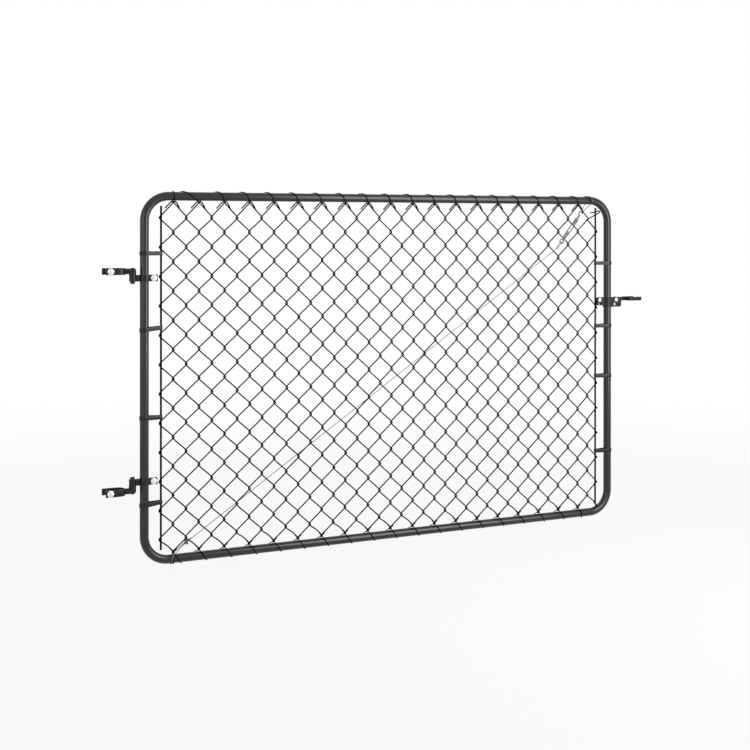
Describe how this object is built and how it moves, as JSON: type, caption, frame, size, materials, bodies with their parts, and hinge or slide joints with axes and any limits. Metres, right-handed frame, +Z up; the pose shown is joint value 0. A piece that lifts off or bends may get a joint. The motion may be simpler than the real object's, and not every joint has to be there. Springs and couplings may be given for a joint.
{
  "type": "chain link gate",
  "caption": "Single swing garden gate of black chain link in a round tube frame, with pin hinges for a post, a fork latch and a diagonal truss cable.",
  "frame": {"origin": "centre of the lower hinge strap, on the axis of the hinge post", "axes": "+Z up along the hinge post, +X along the closed gate from the hinges to the latch, -Y toward the side that shows the bolt heads"},
  "size_m": [1.9612, 0.0646, 1.1358],
  "materials": {
    "black_tube": "satin black powder coat",
    "black_wire": "satin black polymer coat",
    "black_hardware": "satin black powder coat",
    "zinc": "bright zinc plate",
    "steel_cable": "galvanised strand"
  },
  "bodies": {
    "post_hinges": {"post_strap_upper": "black_hardware", "post_strap_lower": "black_hardware", "hinge_pin_upper": "black_hardware", "hinge_pin_lower": "black_hardware", "post_bolt_upper": "zinc", "post_bolt_lower": "zinc", "post_nuts": "zinc"},
    "gate": {"frame_tube": "black_tube", "fabric_hinge_side": "black_wire", "fabric_middle": "black_wire", "fabric_latch_side": "black_wire", "lacing_wire_top": "black_wire", "lacing_wire_bottom": "black_wire", "tension_bar_hinge_side": "black_hardware", "tension_bar_latch_side": "black_hardware", "bar_clip_hinge_1": "black_hardware", "bar_clip_hinge_2": "black_hardware", "bar_clip_hinge_3": "black_hardware", "bar_clip_hinge_4": "black_hardware", "bar_clip_latch_1": "black_hardware", "bar_clip_latch_2": "black_hardware", "bar_clip_latch_3": "black_hardware", "bar_clip_latch_4": "black_hardware", "hinge_band_upper": "black_hardware", "hinge_band_lower": "black_hardware", "band_bolt_upper": "zinc", "band_bolt_lower": "zinc", "band_nuts": "zinc", "latch_plate_front": "black_hardware", "latch_plate_back": "black_hardware", "latch_clamp_bolt": "zinc", "latch_pivot_bolt": "zinc", "latch_nuts": "zinc", "truss_cable": "steel_cable", "corner_sling": "steel_cable", "cable_clip": "zinc", "cable_ferrule": "zinc", "turnbuckle_body": "zinc", "turnbuckle_eye": "zinc", "turnbuckle_hook": "zinc"},
    "fork": {"latch_fork": "black_hardware"}
  },
  "joints": [
    {"name": "gate_swing", "type": "hinge", "parent": "post_hinges", "child": "gate", "pos_m": [0.047, 0, 0], "axis": [0, 0, 1], "range_deg": [-90, 90]},
    {"name": "fork_lift", "type": "hinge", "parent": "gate", "child": "fork", "pos_m": [1.8237, 0, 0.533], "axis": [0, -1, 0], "range_deg": [0, 95]}
  ]
}
